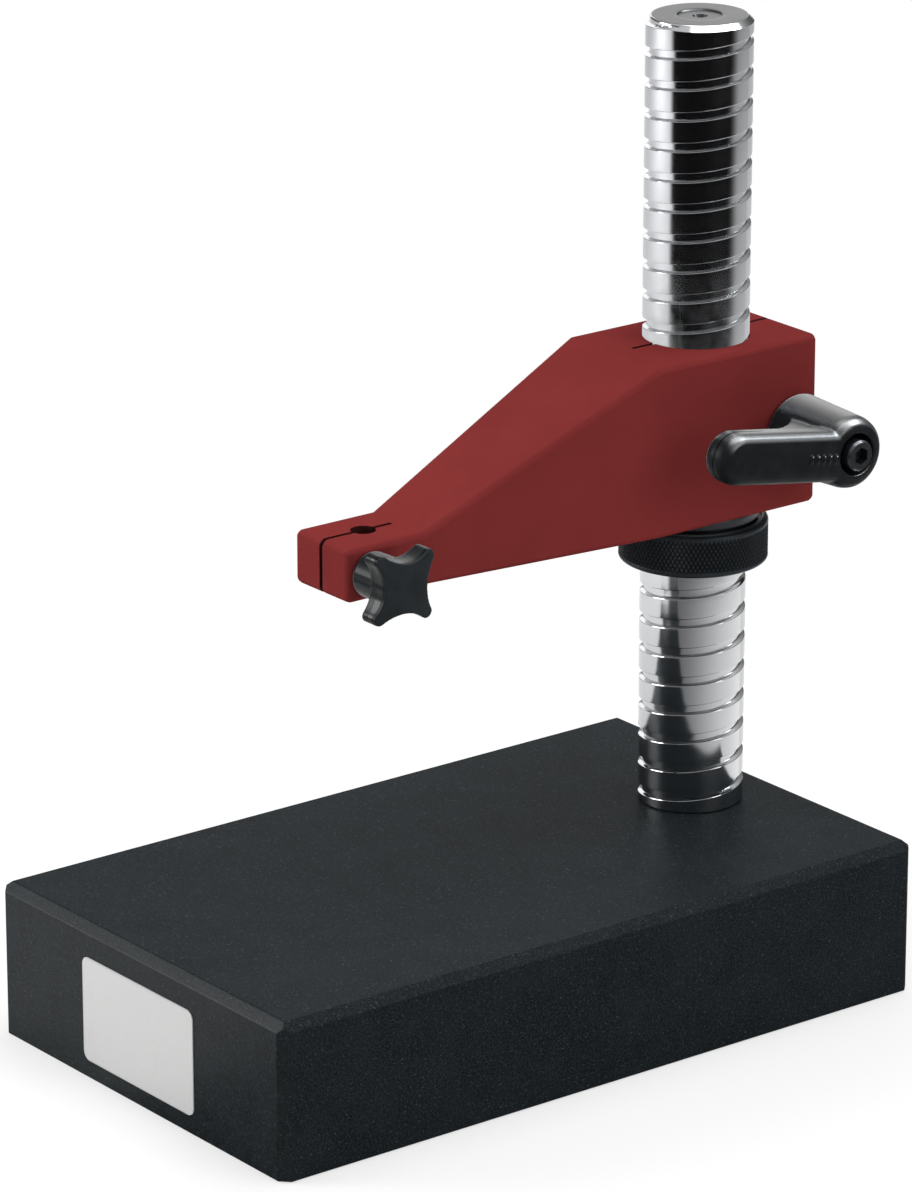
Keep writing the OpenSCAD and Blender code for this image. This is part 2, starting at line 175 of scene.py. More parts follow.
class Shader:
    """Writes one node tree through a single method that adds any node."""

    def __init__(self, tree: bpy.types.NodeTree) -> None:
        """Start with an empty tree."""
        self.tree = tree
        tree.nodes.clear()

    def add(
        self,
        kind: str,
        settings: Optional[Dict[str, Any]] = None,
        inputs: Optional[Sockets] = None,
        output: Union[int, str] = 0,
    ) -> Value:
        """Add one node.

        Args:
            kind: The node's type.
            settings: Its settings, set before its sockets.
            inputs: Numbers, colours or links of its sockets, by name or place.
            output: The output that is returned.

        Returns:
            The chosen output.
        """
        node = self.tree.nodes.new(kind)
        for name, setting in (settings or {}).items():
            setattr(node, name, setting)
        for name, given in (inputs or {}).items():
            if isinstance(given, Value):
                self.tree.links.new(given.socket, node.inputs[name])
            else:
                node.inputs[name].default_value = given
        return Value(self, node.outputs[output] if node.outputs else None)

    def place(self, stretch: Numbers = (1.0, 1.0, 1.0), centre: Numbers = (0.0, 0.0, 0.0)) -> Value:
        """Object coordinates in millimetres.

        Args:
            stretch: Factor on each axis; a small factor draws a pattern out along that axis.
            centre: The point, in millimetres, that the pattern starts from.

        Returns:
            The coordinates as a vector.
        """
        where = self.add("ShaderNodeTexCoord", {}, {}, "Object")
        scale = tuple(s / MM for s in stretch)
        shift = tuple(-c * s for c, s in zip(centre, stretch))
        return self.add("ShaderNodeMapping", {}, {"Vector": where, "Scale": scale, "Location": shift})

    def axis(self, axis: Axis) -> Value:
        """One Object coordinate in millimetres."""
        return self.add("ShaderNodeSeparateXYZ", {}, {"Vector": self.place()}, axis)

    def facing(self, axis: Axis) -> Value:
        """One component of the surface's normal, in the frame's own axes."""
        normal = self.add("ShaderNodeTexCoord", {}, {}, "Normal")
        return self.add("ShaderNodeSeparateXYZ", {}, {"Vector": normal}, axis)

    def edges(self, low: float, high: float) -> Value:
        """Mask of the outer edges, from a pointiness of low, where it is 0, to one of high."""
        return self.add("ShaderNodeNewGeometry", {}, {}, "Pointiness").rise(low, high)

    def ray(self, kind: Ray) -> Value:
        """1 for rays of one kind and 0 for all others."""
        return self.add("ShaderNodeLightPath", {}, {}, kind.value)

    def radius(self, along: Axis, centre: Numbers) -> Value:
        """Distance from an axis that is parallel to one of the frame's.

        Args:
            along: The frame's axis that it is parallel to.
            centre: A point on it, in millimetres.

        Returns:
            The distance in millimetres.
        """
        stretch = tuple(0.0 if axis == along else 1.0 for axis in Axis)
        spot = self.place(stretch, centre)
        return self.add("ShaderNodeVectorMath", {"operation": "LENGTH"}, {0: spot}, "Value")

    def noise(self, size: float, detail: float = 2.0, stretch: Numbers = (1.0, 1.0, 1.0)) -> Value:
        """Cloudy noise around 0.5.

        Args:
            size: Size of its lumps in millimetres.
            detail: Number of finer layers.
            stretch: Factor on each axis.

        Returns:
            A number from 0 to 1.
        """
        return self.add(
            "ShaderNodeTexNoise",
            {},
            {"Vector": self.place(stretch), "Scale": 1.0 / size, "Detail": detail},
        )

    def tint(self, factor: Input, first: Input, second: Input) -> Value:
        """Mix two colours.

        Args:
            factor: 0 for the first colour, 1 for the second.
            first: A colour or a link.
            second: A colour or a link.

        Returns:
            The mixed colour.
        """
        sides = [c if isinstance(c, Value) else (*c, 1.0) for c in (first, second)]
        inputs: Sockets = {0: factor, 6: sides[0], 7: sides[1]}
        return self.add("ShaderNodeMix", {"data_type": "RGBA"}, inputs, 2)

    def bump(self, height: Value, depth: float, below: Optional[Value] = None) -> Value:
        """Turn a height into a normal.

        Args:
            height: The height, from 0 to 1.
            depth: What a height of 1 stands for, in millimetres.
            below: A normal from another bump that this one is laid on.

        Returns:
            The normal.
        """
        inputs: Sockets = {"Height": height, "Distance": depth * MM, "Strength": 1.0}
        if below is not None:
            inputs["Normal"] = below
        return self.add("ShaderNodeBump", {}, inputs)

    def close(self, colour: Input, roughness: Input, **more: Input) -> None:
        """End the tree in a Principled shader and the material's output.

        Args:
            colour: Base colour.
            roughness: Roughness.
            more: Further sockets, with underscores for the spaces in their names.
        """
        inputs: Sockets = {
            "Base Color": colour if isinstance(colour, Value) else (*colour, 1.0),
            "Roughness": roughness,
        }
        inputs.update({name.replace("_", " "): given for name, given in more.items()})
        surface = self.add("ShaderNodeBsdfPrincipled", {}, inputs)
        self.add("ShaderNodeOutputMaterial", {}, {"Surface": surface})


@dataclass(frozen=True)
class Finish:
    """A surface finish that belongs to one of the record's material slots."""

    slot: str
    colour: Numbers
    roughness: float

    def material(self) -> bpy.types.Material:
        """Make the finish's material on its first use.

        Returns:
            The material.
        """
        name = f"finish_{self.slot}"
        made = bpy.data.materials.get(name)
        if made is None:
            made = bpy.data.materials.new(name)
            made.use_nodes = True
            self.write(Shader(made.node_tree))
        return made

    def write(self, shader: Shader) -> None:
        """Write the finish's nodes; each kind of finish has its own.

        Args:
            shader: The material's shader.
        """
        raise NotImplementedError

    def dress(self, piece: bpy.types.Object) -> bpy.types.Object:
        """Put the finish on every material slot of a piece.

        Args:
            piece: A CAD node's object or a new piece.

        Returns:
            The same piece.
        """
        if not piece.material_slots:
            piece.data.materials.append(self.material())
        for place in piece.material_slots:
            place.material = self.material()
        return piece

    def shade(self, factor: float) -> Numbers:
        """The finish's colour times a factor."""
        return tuple(factor * c for c in self.colour)


@dataclass(frozen=True)
class LappedStone(Finish):
    """Black stone, lapped flat; the fields are the sizes of its clouds, grain, crystals and needles."""

    clouds: float = 14.0
    grain: float = 0.7
    crystals: float = 0.45
    needles: float = 0.5

    def write(self, shader: Shader) -> None:
        """Dark ground with grain, crystals and bright needles, and a sheen on the face that looks to -Y.

        Args:
            shader: The material's shader.
        """
        clouds = shader.noise(self.clouds, 4.0).rise(0.3, 0.7)
        grain = shader.noise(self.grain, 3.0)
        crystals = shader.noise(self.crystals, 1.0).rise(0.62, 0.74)
        needles = shader.noise(self.needles, 1.0, (1.0, 0.45, 0.8)).rise(0.66, 0.74)
        ground = shader.tint(clouds, self.shade(0.8), self.shade(1.2))
        ground = shader.tint(grain.rise(0.35, 0.7) * 0.8, ground, self.shade(2.2))
        ground = shader.tint(crystals * 0.6, ground, self.shade(4.5))
        ground = shader.tint(needles * 0.65, ground, self.shade(7.0))
        roughness = self.roughness + 0.1 * (grain - 0.5) + 0.12 * crystals
        front = shader.facing(Axis.Y).fall(-0.7, -0.3)
        shader.close(
            ground, roughness, Normal=shader.bump(grain, 0.03), Specular_IOR_Level=0.022,
            Coat_Weight=0.3 * front, Coat_Roughness=0.4,
        )


@dataclass(frozen=True)
class BlankLabel(Finish):
    """Coated label stock, left bare; the fields are the label's middle and half its size, as X and Z."""

    centre: Numbers
    half: Numbers
    rim: Numbers = (0.2, 0.9)

    def write(self, shader: Shader) -> None:
        """Near-white film with fine fibres, a little darker along its rim.

        Args:
            shader: The material's shader.
        """
        fibres = shader.noise(0.5, 3.0, (1.0, 1.0, 0.4))
        across = self.half[0] - abs(shader.axis(Axis.X) - self.centre[0])
        up = self.half[1] - abs(shader.axis(Axis.Z) - self.centre[1])
        rim = (across & up).fall(*self.rim)
        face = shader.tint(fibres.rise(0.35, 0.65), self.shade(0.97), self.shade(1.0))
        face = shader.tint(rim * 0.5, face, self.shade(0.8))
        shader.close(face, self.roughness + 0.1 * (fibres - 0.5), Normal=shader.bump(fibres, 0.01))


@dataclass(frozen=True)
class GroundSteel(Finish):
    """Steel, ground between centres; the fields place its axis, its end face and its rubbed stretch."""

    centre: Numbers
    end: Numbers
    rubbed: Tuple[Numbers, Numbers] = ((190.0, 200.0), (212.0, 262.0))

    def write(self, shader: Shader) -> None:
        """Fine rings along Z, the turned end in painted shade, and a duller stretch where the arm moves
        most.

        Args:
            shader: The material's shader.
        """
        rings = shader.noise(0.35, 2.0, (0.02, 0.02, 1.0))
        waves = shader.noise(9.0, 2.0, (0.3, 0.3, 1.0))
        height = shader.axis(Axis.Z)
        reach, top = self.end
        end = height.rise(top - 0.1, top) * shader.radius(Axis.Z, self.centre).fall(reach, reach + 0.3)
        rubbed = height.rise(*self.rubbed[0]) * height.fall(*self.rubbed[1])
        rubbed = rubbed * shader.noise(6.0, 3.0).rise(0.2, 0.6)
        tone = shader.tint(waves.rise(0.3, 0.7), self.shade(0.95), self.shade(1.0))
        # painted shade: the turned end face is darkened
        tone = shader.tint(end, tone, self.shade(0.11))
        roughness = self.roughness + 0.07 * (rings - 0.5) + 0.05 * (waves - 0.5) + 0.1 * rubbed + 0.2 * end
        normal = shader.bump(rings, 0.0005, shader.bump(waves, 0.003))
        shader.close(tone, roughness, Normal=normal, Metallic=1.0)


@dataclass(frozen=True)
class TurnedMetal(Finish):
    """Bright metal from the lathe, with a fine uneven cut."""

    def write(self, shader: Shader) -> None:
        """Metal with short scratches and faint stains.

        Args:
            shader: The material's shader.
        """
        cut = shader.noise(0.3, 2.0, (1.0, 0.12, 0.12))
        stain = shader.noise(3.0, 3.0)
        tone = shader.tint(stain.rise(0.35, 0.7), self.shade(0.86), self.shade(1.0))
        roughness = self.roughness + 0.14 * (cut - 0.5)
        shader.close(tone, roughness, Normal=shader.bump(cut, 0.004), Metallic=1.0)


@dataclass(frozen=True)
class BlackOxide(Finish):
    """Blackened steel, dark and satin; lines is the stretch of its tool lines."""

    metallic: float
    lines: Numbers = (1.0, 1.0, 1.0)
    gloss: float = 0.3

    @staticmethod
    def oil(shader: Shader, size: float = 5.0, layers: float = 4.0) -> Value:
        """Mask of clouds of oil, by their size and number of layers."""
        return shader.noise(size, layers).rise(0.3, 0.72)

    def write(self, shader: Shader) -> None:
        """Dark metal with clouds of oil and fine tool lines.

        Args:
            shader: The material's shader.
        """
        oil = self.oil(shader)
        cut = shader.noise(0.35, 2.0, self.lines)
        tone = shader.tint(oil, self.shade(0.75), self.shade(1.25))
        roughness = self.roughness + 0.1 * (oil - 0.5) + 0.12 * (cut - 0.5)
        normal = shader.bump(cut, 0.008)
        shader.close(tone, roughness, Normal=normal, Metallic=self.metallic, Specular_IOR_Level=self.gloss)


@dataclass(frozen=True)
class KnurledBlack(BlackOxide):
    """Blackened grip; the fields are its axis, its diamonds' tip radii and their painted highlight."""

    centre: Numbers = COLUMN_AXIS
    tips: Numbers = (23.62, 23.92)
    tip_highlight: float = 0.6

    def write(self, shader: Shader) -> None:
        """Dark ground, smoother at the tips than in the grooves, and lighter there by a painted highlight.

        Args:
            shader: The material's shader.
        """
        oil = self.oil(shader)
        cut = shader.noise(0.35, 2.0, self.lines)
        tip = shader.radius(Axis.Z, self.centre).rise(*self.tips)
        tone = shader.tint(oil, self.shade(0.75), self.shade(1.25))
        # painted highlight: the diamonds' tips are lightened in colour
        tone = shader.tint(tip * self.tip_highlight, tone, self.shade(8.0))
        roughness = self.roughness + 0.1 * (oil - 0.5) - 0.08 * tip
        normal = shader.bump(cut, 0.004)
        shader.close(tone, roughness, Normal=normal, Metallic=self.metallic, Specular_IOR_Level=self.gloss)


@dataclass(frozen=True)
class SocketScrew(BlackOxide):
    """Blackened screw; the fields are its axis, its bright ring's radius and its head's outer plane."""

    centre: Numbers = LEVER_AXIS
    ring: float = 4.35
    outer: float = 55.1
    rubbed: Numbers = (0.11, 0.115, 0.12)

    def write(self, shader: Shader) -> None:
        """Black head whose turned chamfer is rubbed bright in an uneven ring.

        Args:
            shader: The material's shader.
        """
        oil = self.oil(shader, 1.6, 3.0)
        front = shader.axis(Axis.X).rise(self.outer - 1.1, self.outer - 0.9)
        ring = shader.radius(Axis.X, self.centre).rise(self.ring, self.ring + 0.15) * front
        ring = ring * (0.65 + 0.35 * shader.noise(0.8, 2.0).rise(0.35, 0.6))
        tone = shader.tint(oil, self.shade(0.75), self.shade(1.3))
        tone = shader.tint(ring, tone, self.rubbed)
        shader.close(tone, self.roughness - 0.08 * ring, Metallic=self.metallic + 0.5 * ring)


@dataclass(frozen=True)
class CastEnamel(Finish):
    """Enamel on a casting; the fields are its bores, half its slits' width and its two ends' Y."""

    bores: Tuple[Tuple[Numbers, float], ...]
    slit: float
    ends: Numbers
    # colour of the painted shade inside bores and slits
    inside: Numbers = (0.045, 0.012, 0.011)
    blur: float = 0.04
    end_blur: float = 0.05

    def write(self, shader: Shader) -> None:
        """Two sizes of bump under a colour that drifts a little, and painted shade inside bores and slits.

        Args:
            shader: The material's shader.
        """
        drift = shader.noise(30.0, 3.0).rise(0.3, 0.7)
        peel = shader.noise(0.55, 2.0)
        waves = shader.noise(4.0, 2.0)
        film = shader.tint(drift, self.shade(0.94), self.shade(1.05))
        film = shader.tint(peel.rise(0.55, 0.75) * 0.35, film, self.shade(1.25))
        # painted highlight: the outer edges are lightened
        film = shader.tint(shader.edges(0.505, 0.56) * 0.06, film, self.shade(1.4))
        along = shader.axis(Axis.Y)
        front, back = self.ends
        cut = along.fall(front, front + self.end_blur) + along.rise(back, back + self.end_blur)
        cut = cut * abs(shader.axis(Axis.X)).fall(self.slit, self.slit + self.blur)
        for centre, radius in self.bores:
            bore = shader.radius(Axis.Z, centre).fall(radius, radius + self.blur)
            cut = cut + bore - cut * bore
        # painted shade: bores and slits are darkened to a deep red
        film = shader.tint(cut, film, self.inside)
        roughness = self.roughness + 0.12 * (peel - 0.5) + 0.05 * (drift - 0.5)
        normal = shader.bump(peel, 0.03, shader.bump(waves, 0.02))
        shader.close(film, roughness, Normal=normal, Specular_IOR_Level=0.0)


@dataclass(frozen=True)
class TexturedCoat(Finish):
    """Powder coat on a die casting; its parting line lies at one X, outside a radius round the hub."""

    part_line: float
    hub: Numbers
    line_from: float

    def write(self, shader: Shader) -> None:
        """Pebbled and matt, with a sheen on the upper side, where fingers rub, and a parting groove.

        Args:
            shader: The material's shader.
        """
        pebbles = shader.noise(0.5, 2.0)
        rub = shader.noise(6.0, 3.0).rise(0.35, 0.7)
        edges = shader.edges(0.51, 0.58)
        upper = shader.facing(Axis.Z).rise(0.2, 0.6) * shader.facing(Axis.Y).rise(-0.7, -0.25)
        line = abs(shader.axis(Axis.X) - self.part_line).fall(0.2, 0.5)
        line = line * shader.radius(Axis.X, self.hub).rise(self.line_from, self.line_from + 2.0)
        tone = shader.tint(rub, self.shade(0.8), self.shade(1.15))
        # painted highlight: the outer edges and rib tips are lightened
        tone = shader.tint(edges * 0.35, tone, self.shade(2.2))
        # painted shade: the parting groove is darkened
        tone = shader.tint(line, tone, self.shade(0.1))
        roughness = self.roughness + 0.14 * (pebbles - 0.5) - 0.06 * edges
        normal = shader.bump(1.0 - line, 0.25, shader.bump(pebbles, 0.03))
        shader.close(
            tone, roughness, Normal=normal, Specular_IOR_Level=0.06, Coat_Weight=upper * (1.0 - line),
            Coat_Roughness=0.34, Coat_IOR=2.2,
        )


@dataclass(frozen=True)
class MouldedPlastic(Finish):
    """Black moulded plastic; the fields are its face's middle and dome, and its parting line's X."""

    centre: Numbers
    dome: float
    part_line: float
    face_edge: Numbers = (0.3, 0.7)
    rim_edge: Numbers = (1.5, 1.8)

    def write(self, shader: Shader) -> None:
        """Glossy sides with a parting line, a dark rim, and a finely matt face with a faint line.

        The depth below the domed face is d = x0 - x - r^2 / D, for the distance r from the knob's axis.

        Args:
            shader: The material's shader.
        """
        grain = shader.noise(0.4, 2.0)
        flow = shader.noise(7.0, 3.0).rise(0.3, 0.7)
        reach = shader.radius(Axis.X, self.centre)
        depth = self.centre[0] - shader.axis(Axis.X) - reach * reach / self.dome
        front = depth.fall(*self.face_edge)
        rim = depth.rise(*self.face_edge) * depth.fall(*self.rim_edge)
        side_line = abs(shader.axis(Axis.X) - self.part_line).fall(0.1, 0.25) * (1.0 - front)
        cross_line = abs(shader.axis(Axis.Z) - self.centre[2]).fall(0.1, 0.3) * front
        behind = shader.axis(Axis.X).fall(self.part_line, self.part_line + 0.2)
        tone = shader.tint(flow, self.shade(0.85), self.shade(1.15))
        # painted shade: the sides are darker than the face
        tone = shader.tint(1.0 - front, tone, self.shade(0.35))
        # painted reflection: the rim round the face is tinted near black
        tone = shader.tint(rim, tone, self.shade(0.12))
        roughness = self.roughness + 0.1 * front + 0.08 * (grain - 0.5)
        gloss = (0.23 - 0.14 * behind) * (1.0 - front) * (1.0 - rim)
        normal = shader.bump(side_line, 0.1, shader.bump(grain, 0.012))
        normal = shader.bump(cross_line, 0.04, normal)
        shader.close(
            tone, roughness, Normal=normal, Specular_IOR_Level=0.08, Coat_Weight=gloss, Coat_Roughness=0.1
        )


class Rim(Enum):
    """How the smooth shading of a new piece breaks."""

    SOFT = 50.0
    CRISP = 28.0


@dataclass
class Grid:
    """A surface as an array of points, rows along its profile and columns round its path."""

    points: np.ndarray
    wrap_rows: bool = False
    wrap_columns: bool = False

    def quads(self, start: int) -> np.ndarray:
        """Corner numbers of the grid's faces.

        Args:
            start: Number of the grid's first point.

        Returns:
            One row of four numbers for each face, outwards for a profile that rises on the outside.
        """
        rows, columns = self.points.shape[:2]
        index = np.arange(rows * columns).reshape(rows, columns) + start
        if self.wrap_rows:
            index = np.vstack([index, index[:1]])
        if self.wrap_columns:
            index = np.hstack([index, index[:, :1]])
        sides = [index[:-1, :-1], index[:-1, 1:], index[1:, 1:], index[1:, :-1]]
        return np.stack(sides, axis=-1).reshape(-1, 4)


def placed(name: str, data: bpy.types.ID) -> bpy.types.Object:
    """Make an object of a mesh, lamp or camera.

    Args:
        name: The object's name.
        data: What it shows.

    Returns:
        The object, in the scene and at the origin.
    """
    made = bpy.data.objects.new(name, data)
    bpy.context.scene.collection.objects.link(made)
    return made


def smooth(piece: bpy.types.Object, rim: Rim) -> None:
    """Shade a piece smooth up to its rim's angle."""
    piece.data.shade_smooth()
    piece.data.set_sharp_from_angle(angle=math.radians(rim.value))


def surface(name: str, grids: Sequence[Grid], rim: Rim) -> bpy.types.Object:
    """Make one object of several grids, with seams and poles merged.

    Args:
        name: The piece's name.
        grids: The grids, in millimetres.
        rim: Where smooth shading breaks.

    Returns:
        The piece, at the origin.
    """
    points, faces, start = [], [], 0
    for grid in grids:
        points.append(grid.points.reshape(-1, 3))
        faces.append(grid.quads(start))
        start += len(points[-1])
    mesh = bpy.data.meshes.new(name)
    mesh.from_pydata((np.concatenate(points) * MM).tolist(), [], np.concatenate(faces).tolist())
    return tidy(placed(name, mesh), rim)


def tidy(piece: bpy.types.Object, rim: Rim) -> bpy.types.Object:
    """Merge a piece's doubles and set its smooth shading.

    Args:
        piece: The piece.
        rim: Where smooth shading breaks.

    Returns:
        The same piece.
    """
    work = bmesh.new()
    work.from_mesh(piece.data)
    bmesh.ops.remove_doubles(work, verts=work.verts, dist=WELD)
    bmesh.ops.dissolve_degenerate(work, edges=work.edges, dist=SLIVER)
    work.to_mesh(piece.data)
    work.free()
    smooth(piece, rim)
    return piece


def copy_of(node: str, name: str, rim: Rim) -> bpy.types.Object:
    """Make a merged copy of a CAD node that stands for it.

    Args:
        node: The CAD node.
        name: The new piece's name.
        rim: Where smooth shading breaks.

    Returns:
        The copy, at the origin.
    """
    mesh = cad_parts[node].data.copy()
    mesh.name = name
    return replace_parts(tidy(placed(name, mesh), rim), node)


def bake(piece: bpy.types.Object) -> bpy.types.Object:
    """Apply a piece's modifiers to its mesh.

    Args:
        piece: The piece.

    Returns:
        The same piece, with no modifiers left.
    """
    graph = bpy.context.evaluated_depsgraph_get()
    mesh = bpy.data.meshes.new_from_object(piece.evaluated_get(graph))
    piece.modifiers.clear()
    piece.data = mesh
    return piece


def cast(piece: bpy.types.Object, voxel: float, rounds: int, rim: Rim) -> bpy.types.Object:
    """Give a copied solid the soft edges of a casting: remesh it evenly, then relax it.

    Args:
        piece: The copied solid.
        voxel: Size of the even mesh in millimetres.
        rounds: Number of relaxing steps.
        rim: Where smooth shading breaks.

    Returns:
        The same piece.
    """
    remesh = piece.modifiers.new("even", "REMESH")
    remesh.mode = "VOXEL"
    remesh.voxel_size = voxel * MM
    relax = piece.modifiers.new("relax", "SMOOTH")
    relax.factor = 0.5
    relax.iterations = rounds
    smooth(bake(piece), rim)
    return piece


def rounded(corners: Sequence[Tuple[float, float, float]], steps: int = 4) -> np.ndarray:
    """Round the corners of a closed profile.

    A corner C with rounding q becomes (1-t)^2 A + 2 t (1-t) C + t^2 B for t from 0 to 1, where A and B
    lie q before and q after the corner on its two sides.

    Args:
        corners: Radius, height and rounding of each corner, anticlockwise.
        steps: Number of pieces in a rounding.

    Returns:
        Points of the profile, one row each.
    """
    spots = np.array([c[:2] for c in corners])
    sizes = np.array([c[2] for c in corners])[:, None]
    ahead = np.roll(spots, -1, axis=0) - spots
    behind = np.roll(spots, 1, axis=0) - spots
    ahead /= np.linalg.norm(ahead, axis=1)[:, None]
    behind /= np.linalg.norm(behind, axis=1)[:, None]
    first, last = spots + sizes * behind, spots + sizes * ahead
    t = np.linspace(0.0, 1.0, steps + 1)[None, :, None]
    curve = (1 - t) ** 2 * first[:, None] + 2 * t * (1 - t) * spots[:, None] + t**2 * last[:, None]
    return curve.reshape(-1, 2)


def turned(profile: np.ndarray, centre: Numbers, columns: int) -> Grid:
    """Turn a closed profile round an upright axis: (r cos a, r sin a, z) for a round the circle.

    Args:
        profile: Radius and height of each point, anticlockwise.
        centre: The axis, as X and Y.
        columns: Number of columns round the axis.

    Returns:
        A grid closed both ways.
    """
    angle = np.linspace(0.0, 2 * np.pi, columns, endpoint=False)[None, :]
    reach, height = profile[:, :1], profile[:, 1:]
    x = centre[0] + reach * np.cos(angle)
    y = centre[1] + reach * np.sin(angle)
    return Grid(np.stack([x, y, height + 0 * angle], axis=-1), True, True)


STONE = LappedStone("stone", (0.0082, 0.0104, 0.0118), 0.5)
LABEL = BlankLabel("label", (0.55, 0.55, 0.547), 0.45, (0.0, 23.3), (29.25, 17.25))
COLUMN_STEEL = GroundSteel("turned_steel", (0.65, 0.66, 0.67), 0.12, COLUMN_AXIS, (15.0, 309.3))
PLAIN_STEEL = TurnedMetal("plain_steel", (0.56, 0.57, 0.58), 0.28)
SPRING_STEEL = TurnedMetal("spring_steel", (0.50, 0.51, 0.53), 0.22)
BRASS = TurnedMetal("insert_brass", (0.72, 0.53, 0.25), 0.25)
SCREW_BLACK = SocketScrew("black_steel", (0.016, 0.017, 0.019), 0.34, 0.35)
NUT_BLACK = KnurledBlack("black_nut", (0.0045, 0.0055, 0.0063), 0.34, 0.0, gloss=0.09)
RING_BLACK = BlackOxide("black_ring", (0.026, 0.029, 0.032), 0.36, 0.1, (0.05, 0.05, 1.0), 0.5)
ARM_BORES = ((COLUMN_AXIS, 17.1), (GAUGE_AXIS, 4.05))
ARM_RED = CastEnamel("arm_paint", (0.176, 0.0262, 0.0255), 0.5, ARM_BORES, 0.78, (-27.2, 67.95))
LEVER_BLACK = TexturedCoat("lever_coat", (0.0109, 0.0122, 0.014), 0.36, 47.7, LEVER_AXIS, 36.0)
KNOB_BLACK = MouldedPlastic("knob_plastic", (0.0175, 0.021, 0.0232), 0.3, KNOB_FACE, 120.0, 27.7)


@dataclass
class StonePlate:
    """The stone plate, its label and what fixes the column under it."""

    edge: float = 0.35
    edge_steps: int = 3
    edge_angle: float = 25.0
    flat_angle: float = 0.5

    def build(self) -> None:
        """Copy the plate with a broken arris on its edges, and dress the nodes that belong to it."""
        plate = copy_of("granite_plate", "stone_plate", Rim.CRISP)
        work = bmesh.new()
        work.from_mesh(plate.data)
        flat = math.radians(self.flat_angle)
        bmesh.ops.dissolve_limit(work, angle_limit=flat, verts=work.verts, edges=work.edges)
        work.to_mesh(plate.data)
        work.free()
        arris = plate.modifiers.new("arris", "BEVEL")
        arris.width = self.edge * MM
        arris.segments = self.edge_steps
        arris.limit_method = "ANGLE"
        arris.angle_limit = math.radians(self.edge_angle)
        plane = plate.modifiers.new("plane", "WEIGHTED_NORMAL")
        plane.keep_sharp = False
        plane.weight = 80
        plate.data.shade_smooth()
        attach(STONE.dress(plate), "stand")
        LABEL.dress(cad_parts["name_plate"])
        for node in ("column_bush", "column_washer"):
            PLAIN_STEEL.dress(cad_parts[node])
        SCREW_BLACK.dress(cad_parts["column_screw"])
        LOG.info("stone plate: %d faces", len(plate.data.polygons))


